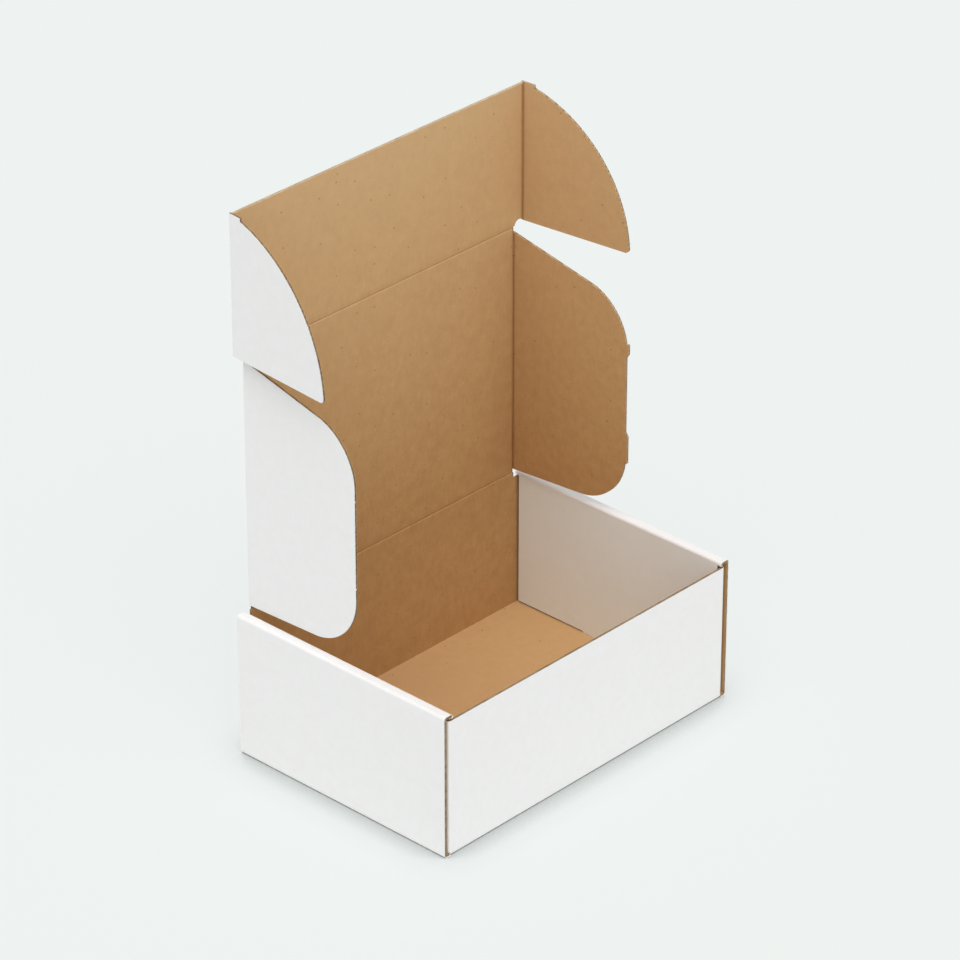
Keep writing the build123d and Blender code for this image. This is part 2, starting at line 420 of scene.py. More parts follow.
def ear_fold_shade_mask(tree, place):
    """Painted shade in the inside corners of the ears' folds: the paper darkened beside each fold."""
    at = add(tree, "SeparateXYZ", {0: place}).outputs
    above_lid = number(tree, "GREATER_THAN", at["Z"], FLAP_Z * MM)
    above_tray = number(tree, "GREATER_THAN", at["Z"], HINGE_Z * MM)
    fold = ranged(tree, above_lid, 0.0, 1.0, (EAR_X - HALF) * MM, (TUCK_X - HALF) * MM)
    sideways = number(tree, "SUBTRACT", number(tree, "ABSOLUTE", at["X"]), fold)
    forward = number(tree, "SUBTRACT", at["Y"], (FOLD_Y - HALF) * MM)
    apart = add(tree, "CombineXYZ", {0: sideways, 1: forward}).outputs[0]
    far = vector(tree, "LENGTH", apart)
    near = ranged(tree, far, EAR_FOLD_NEAR * MM, EAR_FOLD_FAR * MM, 1.0, 0.0)
    return number(tree, "MULTIPLY", near, above_tray)


def long_fold_shade_mask(tree, place):
    """Painted shade: the paper darkened just above the two long folds of the lid."""
    at = add(tree, "SeparateXYZ", {0: place}).outputs
    bands = []
    for fold in (HINGE_Z, FLAP_Z):
        above = number(tree, "GREATER_THAN", at["Z"], fold * MM)
        near = ranged(tree, at["Z"], fold * MM, (fold + LONG_FOLD_SHADE_BAND) * MM, 1.0, 0.0)
        bands.append(number(tree, "MULTIPLY", above, near))
    on_lid = number(tree, "GREATER_THAN", at["Y"], (FOLD_Y - BOARD) * MM)
    return number(tree, "MULTIPLY", number(tree, "ADD", *bands), on_lid)


def painted_light_and_shade(tree, place, paper):
    """Upright brown paper, with painted light that pales it towards the top of the open box, and painted
    shade beside the folds.
    """
    height = add(tree, "SeparateXYZ", {0: place}).outputs["Z"]
    painted_light = ranged(tree, height, PAINTED_LIGHT_FROM * MM, PAINTED_LIGHT_TO * MM, 0.0, PAINTED_LIGHT_SHARE)
    painted_lit = tinted(tree, painted_light, paper, PAINTED_LIGHT_KRAFT)
    # painted shade above the long folds, then in the inside corners of the ears' folds
    turned = marked(tree, painted_lit, long_fold_shade_mask(tree, place), LONG_FOLD_SHADE, FOLD_SHADE_KRAFT)
    return marked(tree, turned, ear_fold_shade_mask(tree, place), EAR_FOLD_SHADE, FOLD_SHADE_KRAFT)


def kraft_liner(name, along, dark, light, level):
    """Unbleached brown paper, clouded and flecked, on the level floor or on the upright panels."""
    finish, tree, shader = new_finish(name, specular=0.22)
    place = place_on(tree)
    grain, ribs = paper_nodes(tree, place, along, along, level)
    clouded = two_tones(tree, grain["Cloud"], KRAFT_SPAN, dark, light)
    streaked = tinted(tree, ranged(tree, grain["Streaks"], *KRAFT_STREAKS), clouded, KRAFT_STREAK)
    paper = streaked if level else painted_light_and_shade(tree, place, streaked)
    flecked = marked(tree, paper, grain["Dark specks"], strength=0.62, colour=KRAFT_DARK_SPECK)
    colour = marked(tree, flecked, grain["Pale specks"], strength=0.45, colour=KRAFT_PALE_SPECK)
    set_surface(tree, shader, colour, grain, ribs, rough=(0.78, 0.9), tooth=0.6, depth=0.000016)
    return finish


def white_liner(name, along, dark, light):
    """Bleached paper with a smooth matt face, a little blotchy where the brown shows through."""
    finish, tree, shader = new_finish(name, specular=0.35)
    grain, ribs = paper_nodes(tree, place_on(tree), along, along)
    clouded = two_tones(tree, grain["Cloud"], CLOUD_SPAN, dark, light)
    streaked = tinted(tree, ranged(tree, grain["Streaks"], *WHITE_STREAKS), clouded, WHITE_STREAK)
    colour = marked(tree, streaked, grain["Dark specks"], strength=0.09, colour=WHITE_SPECK)
    set_surface(tree, shader, colour, grain, ribs, rough=(0.52, 0.66), tooth=0.3, depth=0.00001)
    return finish


def cut_edge(name, dark, light, worn):
    """Board cut through: torn brown fibre."""
    finish, tree, shader = new_finish(name, specular=0.15)
    grain, ribs = paper_nodes(tree, place_on(tree), "x", "z")
    fibre = two_tones(tree, grain["Streaks"], TORN_SPAN, dark, light)
    colour = marked(tree, fibre, grain["Pale specks"], strength=0.5, colour=worn)
    set_surface(tree, shader, colour, grain, ribs, rough=(0.85, 0.95), tooth=1.0, depth=0.00008)
    return finish


KRAFT_UPRIGHT = kraft_liner("kraft liner upright", "z", KRAFT_DARK, KRAFT_LIGHT, level=False)
# The floor's brown paper, painted lighter: painted light
LIT_KRAFT_FLOOR = kraft_liner("kraft liner floor painted light", "y", LIT_FLOOR_DARK, LIT_FLOOR_LIGHT, level=True)
WHITE_UPRIGHT = white_liner("white liner upright", "z", WHITE_DARK, WHITE_LIGHT)
WHITE_SIDES = white_liner("white liner sides", "y", WHITE_DARK, WHITE_LIGHT)
# The inner wall's white with its cool tint against bounced brown light: painted light
WHITE_BOUNCE_TINTED = white_liner("white liner inside tinted against bounced light", "y", BOUNCE_TINT_DARK, BOUNCE_TINT_LIGHT)
# One cut board in three tones by piece: painted shade on the tray, painted light on the ears and the tuck
# flap
CUT_EDGE = cut_edge("cut edge", *SHADED_CUT_TONES)
EAR_EDGE = cut_edge("ear cut edge", *EAR_TONES)
LIT_CUT_EDGE = cut_edge("cut edge painted light", *LIT_CUT_TONES)
BOARD_FINISHES = [WHITE_UPRIGHT, KRAFT_UPRIGHT, CUT_EDGE, WHITE_SIDES, LIT_KRAFT_FLOOR, WHITE_BOUNCE_TINTED]
LEFT_EAR_FINISHES = [WHITE_UPRIGHT, KRAFT_UPRIGHT, EAR_EDGE]
LIT_CUT_FINISHES = [WHITE_UPRIGHT, KRAFT_UPRIGHT, LIT_CUT_EDGE]


# Drawing and shaping


def draw(bm, start, *moves):
    """Draws wire from start. A move is a point, or the centre, end point and steps of an arc."""
    pen = bmesh.ops.create_vert(bm, co=start)["vert"][0]
    for move in moves:
        if isinstance(move[0], tuple):
            centre, end = Vector(move[0]), Vector(move[1])
            before, after = pen.co - centre, end - centre
            axis = before.cross(after).normalized()
            turn = before.angle(after)
            swept = bmesh.ops.spin(bm, geom=[pen], cent=centre, axis=axis, angle=turn, steps=move[2])
            pen = next(g for g in swept["geom_last"] if isinstance(g, bmesh.types.BMVert))
        else:
            drawn = bmesh.ops.extrude_vert_indiv(bm, verts=[pen])
            pen = drawn["verts"][0]
            pen.co = move
    return bm


def outline(start, *moves):
    """A flat face inside a drawn line that comes back to its start."""
    bm = draw(bmesh.new(), start, *moves, start)
    bmesh.ops.remove_doubles(bm, verts=bm.verts[:], dist=WELD)
    bmesh.ops.contextual_create(bm, geom=bm.edges[:])
    return bm


def edges_where(bm, test):
    """The edges with both ends where the test holds."""
    return [e for e in bm.edges if test(e.verts[0].co) and test(e.verts[1].co)]


def middle(face_or_edge):
    """The middle of the corners of a face or an edge."""
    places = [v.co for v in face_or_edge.verts]
    return sum(places, Vector()) / len(places)


def both_halves(bm):
    """A face drawn on the right of the middle, made whole."""
    bmesh.ops.mirror(bm, geom=bm.verts[:] + bm.edges[:] + bm.faces[:], axis="X", merge_dist=CLOSE)
    seam = edges_where(bm, lambda p: abs(p.x) < CLOSE)
    bmesh.ops.dissolve_edges(bm, edges=seam, use_verts=True)
    return bm


def stretch(bm, edges, by):
    """Extrudes edges along a vector, and gives the new edges."""
    out = bmesh.ops.extrude_edge_only(bm, edges=edges)["geom"]
    bmesh.ops.translate(bm, verts=[g for g in out if isinstance(g, bmesh.types.BMVert)], vec=by)
    return [g for g in out if isinstance(g, bmesh.types.BMEdge) and all(v in out for v in g.verts)]


def thicken(bm, depth):
    """Extrudes flat faces along a vector into a closed solid."""
    out = bmesh.ops.extrude_face_region(bm, geom=bm.faces[:])["geom"]
    bmesh.ops.translate(bm, verts=[g for g in out if isinstance(g, bmesh.types.BMVert)], vec=depth)
    bmesh.ops.recalc_face_normals(bm, faces=bm.faces[:])
    return bm


def bevelled(bm, geom, offset, steps, affect="EDGES"):
    """Rounds or slopes corners or edges."""
    bmesh.ops.bevel(
        bm,
        geom=geom,
        offset=offset,
        offset_type="OFFSET",
        segments=steps,
        profile=0.5,
        affect=affect,
        material=-1,
    )


def round_corner(bm, near, radius, steps):
    """Rounds the corner nearest to a point."""
    corner = min(bm.verts, key=lambda v: (v.co - Vector(near)).length)
    one, other = [e.other_vert(corner).co - corner.co for e in corner.link_edges if e.is_boundary]
    reach = radius / math.tan(one.angle(other) / 2)
    bevelled(bm, [corner], reach, steps, affect="VERTICES")


def bend(bm, test):
    """Rounds the folds of a sheet."""
    bevelled(bm, edges_where(bm, test), BEND, BEND_STEPS)


def slope_folds(bm, test):
    """Slopes both faces of a board down to the fold line."""
    lines = [e for e in edges_where(bm, test) if abs(e.verts[0].co.y - e.verts[1].co.y) < CLOSE]
    bevelled(bm, lines, FOLD_SLOPE, steps=1)


def line_faces(bm):
    """White paper on the faces that look back, brown on those that look forward, and cut edges between."""
    for face in bm.faces:
        back = face.normal.y
        face.material_index = WHITE if back > FACING else KRAFT if back < -FACING else EDGE


def all_cut(bm):
    """A shape that shows bare fibre all over."""
    for face in bm.faces:
        face.material_index = EDGE
    return bm


def soften_cuts(bm, skip):
    """Takes the sharpness off the corners between a liner and a cut."""
    corners_of_cuts = [
        e
        for e in bm.edges
        if len(e.link_faces) == 2
        and sum(f.material_index == EDGE for f in e.link_faces) == 1
        and e.calc_face_angle(0) > SHARP_CUT
        and not (skip(e.verts[0].co) and skip(e.verts[1].co))
    ]
    bevelled(bm, corners_of_cuts, SOFT, SOFT_STEPS)


def hollow_cuts(bm, test, torn=False):
    """Sinks the middle of the cuts, between the two liners. With torn set, the brown liner beside a cut is
    painted in the dark cut-edge colour as painted shade.
    """
    cuts = [f for f in bm.faces if f.material_index == EDGE and test(f)]
    sunk = bmesh.ops.inset_region(
        bm, faces=cuts, thickness=HOLLOW_EDGE, depth=-HOLLOW_DEPTH, use_boundary=True, use_even_offset=True
    )
    for band in sunk["faces"]:
        beside = [f.material_index for e in band.edges for f in e.link_faces if f.material_index != EDGE]
        hidden = torn and beside and beside[0] in (KRAFT, KRAFT_FLOOR)
        band.material_index = beside[0] if beside and not hidden else EDGE


def add_to(bm, part):
    """Puts another shape into this one."""
    mesh = bpy.data.meshes.new("part")
    part.to_mesh(mesh)
    bm.from_mesh(mesh)
    bpy.data.meshes.remove(mesh)
    part.free()


def other_side(bm):
    """The shape's twin on the left of the box."""
    bmesh.ops.scale(bm, vec=(-1, 1, 1), verts=bm.verts[:])
    bmesh.ops.reverse_faces(bm, faces=bm.faces[:])
    return bm


def as_board(bm, white, looks_out):
    """Thickens a sheet, drawn on its white side, into board. looks_out is a point out on the white side."""
    bmesh.ops.recalc_face_normals(bm, faces=bm.faces[:])
    outer = min(bm.faces, key=lambda f: (f.calc_center_median() - Vector(looks_out)).length)
    if outer.normal.dot(Vector(looks_out) - outer.calc_center_median()) < 0:
        bmesh.ops.reverse_faces(bm, faces=bm.faces[:])
    mesh = bpy.data.meshes.new("sheet")
    for face in bm.faces:
        face.material_index = white
    bm.to_mesh(mesh)
    for finish in BOARD_FINISHES:
        mesh.materials.append(finish)
    sheet = bpy.data.objects.new("sheet", mesh)
    bpy.context.scene.collection.objects.link(sheet)
    thick = sheet.modifiers.new("board", "SOLIDIFY")
    thick.thickness = BOARD
    thick.offset = -1
    thick.use_even_offset = True
    thick.material_offset = 1
    thick.material_offset_rim = EDGE - white
    shaped = sheet.evaluated_get(bpy.context.evaluated_depsgraph_get())
    done = bpy.data.meshes.new_from_object(shaped)
    bm.clear()
    bm.from_mesh(done)
    bpy.data.objects.remove(sheet)
    bpy.data.meshes.remove(mesh)
    bpy.data.meshes.remove(done)
    return bm


def finished(name, bm, finishes=BOARD_FINISHES):
    """The shape as an object in metres, flat on its panels, smooth over its bends, sharp at its corners."""
    bmesh.ops.scale(bm, vec=(MM, MM, MM), verts=bm.verts[:])
    mesh = bpy.data.meshes.new(name)
    bm.to_mesh(mesh)
    bm.free()
    mesh.set_sharp_from_angle(angle=math.radians(SHARP_FOLD))
    for face in mesh.polygons:
        face.use_smooth = max(abs(part) for part in face.normal) < FLAT
    for finish in finishes:
        mesh.materials.append(finish)
    piece = bpy.data.objects.new(name, mesh)
    bpy.context.scene.collection.objects.link(piece)
    return piece


def stands_for(piece, node):
    """Puts a piece in the place of a node, on the body of the same name."""
    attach(piece, node)
    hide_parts(node)


# The tray, folded from the floor, the walls and their flaps


def base_sheet():
    """The floor, with the feet of the front and back walls and the two slots for the tabs."""
    bm = draw(
        bmesh.new(),
        (-FLOOR_SEAM, -HALF_DEPTH, WALL_FOOT),
        (-FLOOR_SEAM, -HALF_DEPTH, 0),
        (-FLOOR_SEAM, -SLOT_HALF, 0),
        (-FLOOR_SEAM, SLOT_HALF, 0),
        (-FLOOR_SEAM, HALF_DEPTH, 0),
        (-FLOOR_SEAM, HALF_DEPTH, WALL_FOOT),
    )
    line = bm.edges[:]
    across = [-FLOOR_SEAM, -SLOT_OUT, -SLOT_IN, SLOT_IN, SLOT_OUT, FLOOR_SEAM]
    for here, there in zip(across, across[1:]):
        line = stretch(bm, line, (there - here, 0, 0))
    slots = [
        f for f in bm.faces if SLOT_IN < abs(middle(f).x) < SLOT_OUT and abs(middle(f).y) < SLOT_HALF
    ]
    bmesh.ops.delete(bm, geom=slots, context="FACES")
    bend(bm, lambda p: abs(p.z) < CLOSE and abs(p.y) > HALF_DEPTH - CLOSE)
    return as_board(bm, WHITE_SIDE, (0, 0, -FAR_OUT))


def rolled_side():
    """The right outer wall, its rolled rim, and the inner wall with its tab."""
    bm = draw(
        bmesh.new(),
        (FLOOR_SEAM, -HALF_DEPTH, 0),
        (HALF_LENGTH, -HALF_DEPTH, 0),
        (HALF_LENGTH, -HALF_DEPTH, RIM),
        (INNER_WALL, -HALF_DEPTH, RIM),
        (INNER_WALL, -HALF_DEPTH, INNER_WALL_STEP),
    )
    line = bm.edges[:]
    along = [-HALF_DEPTH, -INNER_WALL_END, -TAB_HALF, TAB_HALF, INNER_WALL_END, HALF_DEPTH]
    for here, there in zip(along, along[1:]):
        line = stretch(bm, line, (0, there - here, 0))
    step = edges_where(bm, lambda p: abs(p.x - INNER_WALL) < CLOSE and abs(p.z - INNER_WALL_STEP) < CLOSE)
    upper = [e for e in step if abs(middle(e).y) < INNER_WALL_END]
    hem = stretch(bm, upper, (0, 0, INNER_WALL_FOOT - INNER_WALL_STEP))
    tab = [e for e in hem if abs(middle(e).y) < CLOSE]
    stretch(bm, tab, (0, 0, TAB_BOTTOM - INNER_WALL_FOOT))
    for end in (-1, 1):
        round_corner(bm, (INNER_WALL, end * TAB_HALF, TAB_BOTTOM), TAB_ROUND, steps=5)
    bend(bm, lambda p: p.x > HALF_LENGTH - CLOSE and abs(p.z) < CLOSE)
    bend(bm, lambda p: p.x > HALF_LENGTH - CLOSE and p.z > RIM - CLOSE)
    bend(bm, lambda p: p.x < INNER_WALL + CLOSE and p.z > RIM - CLOSE)
    as_board(bm, WHITE_SIDE, (FAR_OUT, 0, RIM / 2))
    for face in bm.faces:
        at = middle(face)
        # The white facing into the tray takes the cool tint against bounced brown light: painted light
        looks_in = face.normal.x < -FACING and at.x < INNER_WALL + CUT_CLOSE
        if looks_in and at.z < RIM - BOARD - BEND:
            face.material_index = WHITE_INSIDE
        elif face.material_index == KRAFT_FLOOR:
            face.material_index = KRAFT
    return bm


def end_wall(side, top):
    """The front or back wall with its end flaps, and above it a tongue up to a hinge, if top is higher."""
    bm = draw(
        bmesh.new(),
        (END_FLAP, side * END_FLAP_END, WALL_FOOT),
        (END_FLAP, side * HALF_DEPTH, WALL_FOOT),
        (EAR_X, side * HALF_DEPTH, WALL_FOOT),
        (-EAR_X, side * HALF_DEPTH, WALL_FOOT),
        (-END_FLAP, side * HALF_DEPTH, WALL_FOOT),
        (-END_FLAP, side * END_FLAP_END, WALL_FOOT),
    )
    upper = stretch(bm, bm.edges[:], (0, 0, FRONT_TOP - WALL_FOOT))
    if top > FRONT_TOP:
        tongue = [e for e in upper if abs(middle(e).x) < CLOSE]
        stretch(bm, tongue, (0, 0, top - FRONT_TOP))
    for x in (-END_FLAP, END_FLAP):
        for z in (WALL_FOOT, FRONT_TOP):
            round_corner(bm, (x, side * END_FLAP_END, z), END_FLAP_ROUND, steps=10)
    bend(bm, lambda p: abs(p.x) > END_FLAP - CLOSE and abs(p.y) > HALF_DEPTH - CLOSE)
    as_board(bm, WHITE, (0, side * FAR_OUT, RIM / 2))
    if top > FRONT_TOP:
        slope_folds(bm, lambda p: p.z > top - CLOSE)
    return bm


def make_tray():
    """The whole tray, with its top cuts and wall ends sunk between the liners, and the brown liner beside
    them painted dark as painted shade.
    """
    tray = bmesh.new()
    for part in (
        base_sheet(),
        rolled_side(),
        other_side(rolled_side()),
        end_wall(-1, FRONT_TOP),
        end_wall(1, HINGE_Z - FOLD_GAP),
    ):
        add_to(tray, part)
    # torn: the brown liner beside the tray's cuts is painted in the dark cut-edge colour, as painted shade
    hollow_cuts(tray, lambda f: f.normal.z > FACING and abs(middle(f).z - FRONT_TOP) < CUT_CLOSE, torn=True)
    hollow_cuts(
        tray, lambda f: abs(f.normal.y) > FACING and abs(middle(f).y) > HALF_DEPTH - CUT_CLOSE, torn=True
    )
    soften_cuts(tray, lambda p: abs(p.z - WALL_FOOT) < CLOSE or abs(abs(p.x) - FLOOR_SEAM) < CLOSE)
    stands_for(finished("tray_board", tray), "tray")


# The lid and its tuck flap


def make_lid():
    """The lid panel, sloped down to its four folds."""
    back = FOLD_Y + HALF
    side = EAR_X - FOLD_GAP
    low, high = HINGE_Z + FOLD_GAP, FLAP_Z - FOLD_GAP
    bm = outline((-side, back, low), (side, back, low), (side, back, high), (-side, back, high))
    thicken(bm, (0, -BOARD, 0))
    slope_folds(bm, lambda p: True)
    line_faces(bm)
    stands_for(finished("lid_board", bm), "lid")


def make_tuck_flap():
    """The tuck flap, with a neck at the lid and a round relief beside each end of the fold."""
    back = FOLD_Y + HALF
    low, shoulder = FLAP_Z + FOLD_GAP, FLAP_Z + TUCK_LOW
    side = TUCK_X - FOLD_GAP
    relief = (RELIEF[0], back, RELIEF[1])
    bm = outline(
        (0, back, low),
        (NECK_LOW, back, low),
        (relief, (RELIEF_OUT, back, shoulder), RELIEF_STEPS),
        (side, back, shoulder),
        (side, back, FLAP_TOP),
        (0, back, FLAP_TOP),
    )
    thicken(both_halves(bm), (0, -BOARD, 0))
    slope_folds(bm, lambda p: p.z < low + CLOSE)
    slope_folds(bm, lambda p: abs(p.x) > side - CLOSE)
    line_faces(bm)
    hollow_cuts(bm, lambda f: f.normal.z > FACING)
    soften_cuts(bm, lambda p: p.z < FLAP_TOP - CLOSE)
    stands_for(finished("tuck_flap_board", bm, LIT_CUT_FINISHES), "tuck_flap")


# The ears, with open flutes along their cuts


def fluted_sheet(field):
    """The wavy sheet inside the board, cut to a convex outline."""
    face = field.faces[:][0]
    xs = [v.co.x for v in face.verts]
    zs = [v.co.z for v in face.verts]
    wide, tall = max(xs) - min(xs), max(zs) - min(zs)
    place = Matrix.Translation(((max(xs) + min(xs)) / 2, face.verts[0].co.y, (max(zs) + min(zs)) / 2))
    lay = place @ Matrix.Rotation(math.radians(90), 4, "X") @ Matrix.Diagonal((wide, tall, 1, 1))
    bm = bmesh.new()
    rows = max(LEAST_STEPS, round(tall / FLUTE_PITCH * WAVE_STEPS))
    bmesh.ops.create_grid(bm, x_segments=1, y_segments=rows, size=0.5, matrix=lay)
    for loop in face.loops:
        here, there = loop.vert.co, loop.link_loop_next.vert.co
        outwards = (there - here).cross(face.normal)
        bmesh.ops.bisect_plane(
            bm,
            geom=bm.verts[:] + bm.edges[:] + bm.faces[:],
            dist=WELD / 2,
            plane_co=here,
            plane_no=outwards,
            clear_outer=True,
        )
    swing = HALF - LINER - MEDIUM / 2
    for v in bm.verts:
        v.co.y += MEDIUM / 2 + swing * math.sin(2 * math.pi * v.co.z / FLUTE_PITCH)
    return all_cut(thicken(bm, (0, -MEDIUM, 0)))


def pressed_core(field):
    """The flutes pressed shut by the cutting die, a little behind the cut."""
    bm = field.copy()
    rim = bmesh.ops.inset_region(
        bm, faces=bm.faces[:], thickness=PRESSED_BACK, use_boundary=True, use_even_offset=True
    )
    bmesh.ops.delete(bm, geom=rim["faces"], context="FACES")
    bmesh.ops.translate(bm, verts=bm.verts[:], vec=(0, HALF - LINER, 0))
    return all_cut(thicken(bm, (0, 2 * (LINER - HALF), 0)))


def liner_plate(field, outer, inner, finish):
    """One paper liner, cut to an outline, with its finish on all but the side towards the flutes."""
    bm = field.copy()
    bmesh.ops.translate(bm, verts=bm.verts[:], vec=(0, outer, 0))
    thicken(bm, (0, inner - outer, 0))
    for f in bm.faces:
        f.material_index = EDGE if f.normal.y * math.copysign(1, outer) < -FACING else finish
    return bm


def fold_hem(low, high):
    """The crushed board along an ear's fold, drawn with the fold at x 0."""
    tuck, gap = FACE_GAP + HEM_TUCK, HALF - LINER
    bm = outline(
        (FOLD_GAP, WEDGE_TIP, low),
        (FACE_GAP, HALF, low),
        (FACE_GAP, gap, low),
        (tuck, gap, low),
        (tuck, -gap, low),
        (FACE_GAP, -gap, low),
        (FACE_GAP, -HALF, low),
        (FOLD_GAP, -WEDGE_TIP, low),
    )
    return all_cut(thicken(bm, (0, 0, high - low)))


def make_ear(name, fields, hem, fold, flare, left):
    """An ear of fluted board, drawn flat with its fold at x 0, then folded and set in place."""
    bm = fold_hem(*hem)
    for field in fields:
        add_to(bm, liner_plate(field, HALF, HALF - LINER, WHITE))
        add_to(bm, liner_plate(field, -HALF, LINER - HALF, KRAFT))
        add_to(bm, fluted_sheet(field))
        if max(e.calc_length() for e in field.edges) > PRESSED_LEAST:
            add_to(bm, pressed_core(field))
        field.free()
    turn = Matrix.Rotation(math.radians(flare - 90), 3, "Z")
    bmesh.ops.rotate(bm, verts=bm.verts[:], cent=(0, 0, 0), matrix=turn)
    bmesh.ops.translate(bm, verts=bm.verts[:], vec=fold)
    if left:
        other_side(bm)
    finishes = LEFT_EAR_FINISHES if left else LIT_CUT_FINISHES
    stands_for(finished(name + "_board", bm, finishes), name)


def lid_ear_fields(with_tabs):
    """The lid ear's outline, and on it two friction tabs, or else two nicks left by the cutting."""
    ear = outline(
        (FACE_GAP, 0, EAR_LOW),
        (EAR_REACH, 0, EAR_LOW_END),
        (EAR_REACH, 0, EAR_HIGH_END),
        (FACE_GAP, 0, EAR_HIGH),
    )
    round_corner(ear, (EAR_REACH, 0, EAR_LOW_END), EAR_ROUND, steps=24)
    round_corner(ear, (EAR_REACH, 0, EAR_HIGH_END), EAR_ROUND, steps=24)
    fields = [ear]
    for square, slanted in [LOW_TAB, HIGH_TAB] if with_tabs else []:
        slant = math.copysign(FRICTION_SLANT, square - slanted)
        fields.append(
            outline(
                (EAR_REACH, 0, square),
                (EAR_REACH + FRICTION_TAB, 0, square),
                (EAR_REACH + FRICTION_TAB, 0, slanted + slant),
                (EAR_REACH, 0, slanted),
            )
        )
    for low in () if with_tabs else NICKS:
        high, out = low + NICK_HEIGHT, EAR_REACH + NICK_OUT
        fields.append(outline((EAR_REACH, 0, low), (out, 0, low), (out, 0, high), (EAR_REACH, 0, high)))
    return fields


def tuck_ear_fields():
    """The tuck ear's stub, and its quarter round."""
    stub = outline(
        (FACE_GAP, 0, TUCK_LOW),
        (TUCK_STUB, 0, TUCK_STUB_LOW),
        (TUCK_STUB, 0, TUCK_HIGH),
        (FACE_GAP, 0, TUCK_HIGH),
    )
    tip = (TUCK_TIP[0], 0, TUCK_TIP[1])
    arc = ((-TUCK_ARC_INSET, 0, 0), (TUCK_STUB, 0, TUCK_HIGH - TUCK_STEP), TUCK_ARC_STEPS)
    quarter = outline((TUCK_STUB, 0, TUCK_STUB_LOW), tip, arc)
    round_corner(quarter, tip, TUCK_TIP_ROUND, steps=6)
    return [stub, quarter]


def make_ears():
    """The four ears, each with a hem of crushed board along its fold."""
    for left, hand in ((True, "left"), (False, "right")):
        hem = (EAR_LOW + HEM_LOW, EAR_HIGH - HEM_HIGH)
        fold = (EAR_X, FOLD_Y, HINGE_Z)
        make_ear(f"{hand}_lid_ear", lid_ear_fields(not left), hem, fold, EAR_FLARE, left)
        hem = (TUCK_LOW + HEM_LOW, TUCK_HIGH)
        fold = (TUCK_X, FOLD_Y, FLAP_Z)
        make_ear(f"{hand}_tuck_ear", tuck_ear_fields(), hem, fold, TUCK_FLARE, left)


# Creases, over the folds


def crease_section(folded, white):
    """A flat face through the paper over a fold, and the points where it meets the two panels.

    The first panel is towards -x, the fold at the origin and the white side towards +y. folded is how far the
    second panel is turned at rest."""
    side = 1 if white else -1
    turned = Matrix.Rotation(math.radians(-folded), 3, "Z")
    near = Vector((-FACE_GAP, side * HALF, 0))
    far = turned @ Vector((FACE_GAP, side * HALF, 0))
    dip = WHITE_DIP if white else KRAFT_DIP
    one = [near] + [Vector((-x, side * (HALF - dip * share), 0)) for x, share in (CREASE_BANK, CREASE_FALL)]
    other = [turned @ Vector((-p.x, p.y, 0)) for p in reversed(one)]
    crest = Vector((0, side * (HALF - dip), 0))
    if folded and not white:
        one, other = [near], [far]
        crest = (near + far).normalized() * HALF * FOLDED_CREST
    line = [*one, crest]
    if folded and white:
        line.append(((0, 0, 0), turned @ crest, CREST_STEPS))
    tips = [turned @ Vector((FOLD_GAP, side * WEDGE_TIP, 0)), Vector((-FOLD_GAP, side * WEDGE_TIP, 0))]
    return outline(*line, *other, *tips), near, far


def crease(name, fold, span, folded, white, left=False):
    """The paper over a fold, on its white or its brown side, between the sloped edges of two panels.

    fold is a point on the fold line. span runs along it, upwards if the second panel is folded at rest and
    otherwise along x."""
    bm, near, far = crease_section(folded, white)
    thicken(bm, (0, 0, span[1] - span[0]))
    for f in bm.faces:
        shows = abs(f.normal.z) < FACING and middle(f).xy.length > CREASE_HEART
        f.material_index = (WHITE if white else KRAFT) if shows else EDGE
    bmesh.ops.translate(bm, verts=bm.verts[:], vec=(0, 0, span[0]))
    ends = [near, far]
    if not folded:
        tip_over = Matrix(((0, 0, 1), (0, 1, 0), (1, 0, 0)))
        bmesh.ops.transform(bm, matrix=tip_over.to_4x4(), verts=bm.verts[:])
        bmesh.ops.reverse_faces(bm, faces=bm.faces[:])
        ends = [tip_over @ p for p in ends]
    bmesh.ops.translate(bm, verts=bm.verts[:], vec=fold)
    ends = [p + Vector(fold) for p in ends]
    if left:
        other_side(bm)
        ends = [Vector((-p.x, p.y, p.z)) for p in ends]
    piece = finished(name, bm)
    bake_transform(piece)


def make_creases():
    """The creases of the six folds, on both sides of the board."""
    long_span = (-LONG_CREASE_END, LONG_CREASE_END)
    for white, word in ((True, "outer"), (False, "inner")):
        fold = (0, FOLD_Y, HINGE_Z)
        crease(f"lid_crease_{word}", fold, long_span, 0, white)
        fold = (0, FOLD_Y, FLAP_Z)
        crease(f"tuck_flap_crease_{word}", fold, long_span, 0, white)
        for left, hand in ((True, "left"), (False, "right")):
            fold, span = (EAR_X, FOLD_Y, HINGE_Z), (EAR_LOW, EAR_HIGH)
            crease(f"{hand}_lid_ear_crease_{word}", fold, span, 90 - EAR_FLARE, white, left)
            fold, span = (TUCK_X, FOLD_Y, FLAP_Z), (TUCK_LOW, TUCK_HIGH)
            crease(f"{hand}_tuck_ear_crease_{word}", fold, span, 90 - TUCK_FLARE, white, left)


make_tray()
make_lid()
make_tuck_flap()
make_ears()
make_creases()


# Floor, light and camera


def seen_directly(tree):
    """1 for what the camera sees, straight or through gloss and glass, and 0 for the light in the room."""
    ray = add(tree, "LightPath").outputs
    straight = number(tree, "ADD", ray["Is Camera Ray"], ray["Is Glossy Ray"])
    return number(tree, "ADD", straight, ray["Is Transmission Ray"], clamp=True)


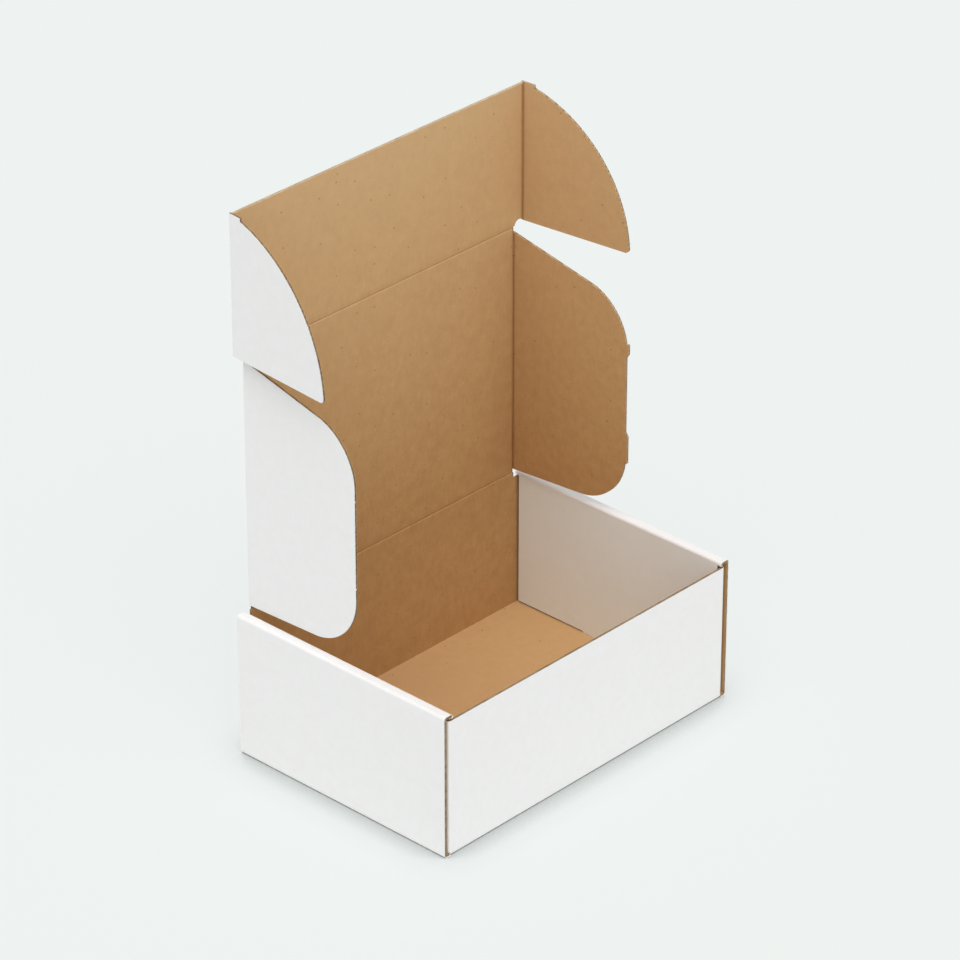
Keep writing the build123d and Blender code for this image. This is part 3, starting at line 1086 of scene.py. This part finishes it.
def floor_finish():
    """A pale matt floor, mostly even in tone to the eye, with a soft shadow where something stands on it."""
    finish, tree, shader = new_finish("pale floor", specular=0.0)
    shader.inputs["Roughness"].default_value = FLOOR_ROUGH
    shader.inputs["Base Color"].default_value = FLOOR_TONE
    opened = add(tree, "AmbientOcclusion", {"Distance": CONTACT_REACH}, samples=CONTACT_RAYS)
    covered = number(tree, "SUBTRACT", 1.0, opened.outputs["AO"])
    deep = number(tree, "POWER", covered, CONTACT_FALL)
    lit = number(tree, "MULTIPLY_ADD", deep, -CONTACT_DEPTH, 1.0, clamp=True)
    even = add(tree, "Emission", {"Color": BACKDROP, "Strength": lit})
    share = number(tree, "MULTIPLY", seen_directly(tree), FLOOR_EVEN)
    looks = add(tree, "MixShader", {0: share, 1: shader.outputs[0], 2: even.outputs[0]})
    tree.links.new(looks.outputs[0], tree.nodes["Material Output"].inputs["Surface"])
    return finish


def make_stage():
    """A floor without edges."""
    bm = bmesh.new()
    bmesh.ops.create_grid(bm, x_segments=FLOOR_CELLS, y_segments=FLOOR_CELLS, size=FLOOR_HALF)
    bmesh.ops.translate(bm, verts=bm.verts[:], vec=(0, 0, -FLOOR_DROP))
    mesh = bpy.data.meshes.new("floor")
    bm.to_mesh(mesh)
    bm.free()
    mesh.materials.append(floor_finish())
    floor = bpy.data.objects.new("floor", mesh)
    bpy.context.scene.collection.objects.link(floor)


def make_light():
    """Even light from all round, and two broad soft lamps: one from the front, one from above."""
    scene = bpy.context.scene
    world = bpy.data.worlds.new("studio")
    world.use_nodes = True
    scene.world = world
    tree = world.node_tree
    around = tree.nodes["Background"]
    around.inputs["Color"].default_value = AROUND_TONE
    around.inputs["Strength"].default_value = AROUND_STRENGTH
    backdrop = add(tree, "Background", {"Color": BACKDROP})
    looks = add(tree, "MixShader", {0: seen_directly(tree), 1: around.outputs[0], 2: backdrop.outputs[0]})
    tree.links.new(looks.outputs[0], tree.nodes["World Output"].inputs["Surface"])
    for name, (strength, wide, towards) in LAMPS.items():
        sun = bpy.data.lights.new(name, "SUN")
        sun.energy = strength
        sun.angle = math.radians(wide)
        lamp = bpy.data.objects.new(name, sun)
        lamp.rotation_euler = Vector(towards).to_track_quat("-Z", "Y").to_euler()
        scene.collection.objects.link(lamp)
    scene.view_settings.view_transform = "Standard"


def make_camera():
    """The photograph's own view: from the front left, well above."""
    camera = bpy.data.cameras.new("camera")
    camera.sensor_width = SENSOR
    camera.lens = LENS
    camera.clip_start, camera.clip_end = SIGHT
    seat = bpy.data.objects.new("camera", camera)
    seat.location = CAMERA_PLACE
    seat.rotation_euler = (math.radians(90 - CAMERA_DOWN), 0, math.radians(CAMERA_ROUND))
    bpy.context.scene.collection.objects.link(seat)
    bpy.context.scene.camera = seat


make_stage()
make_light()
make_camera()
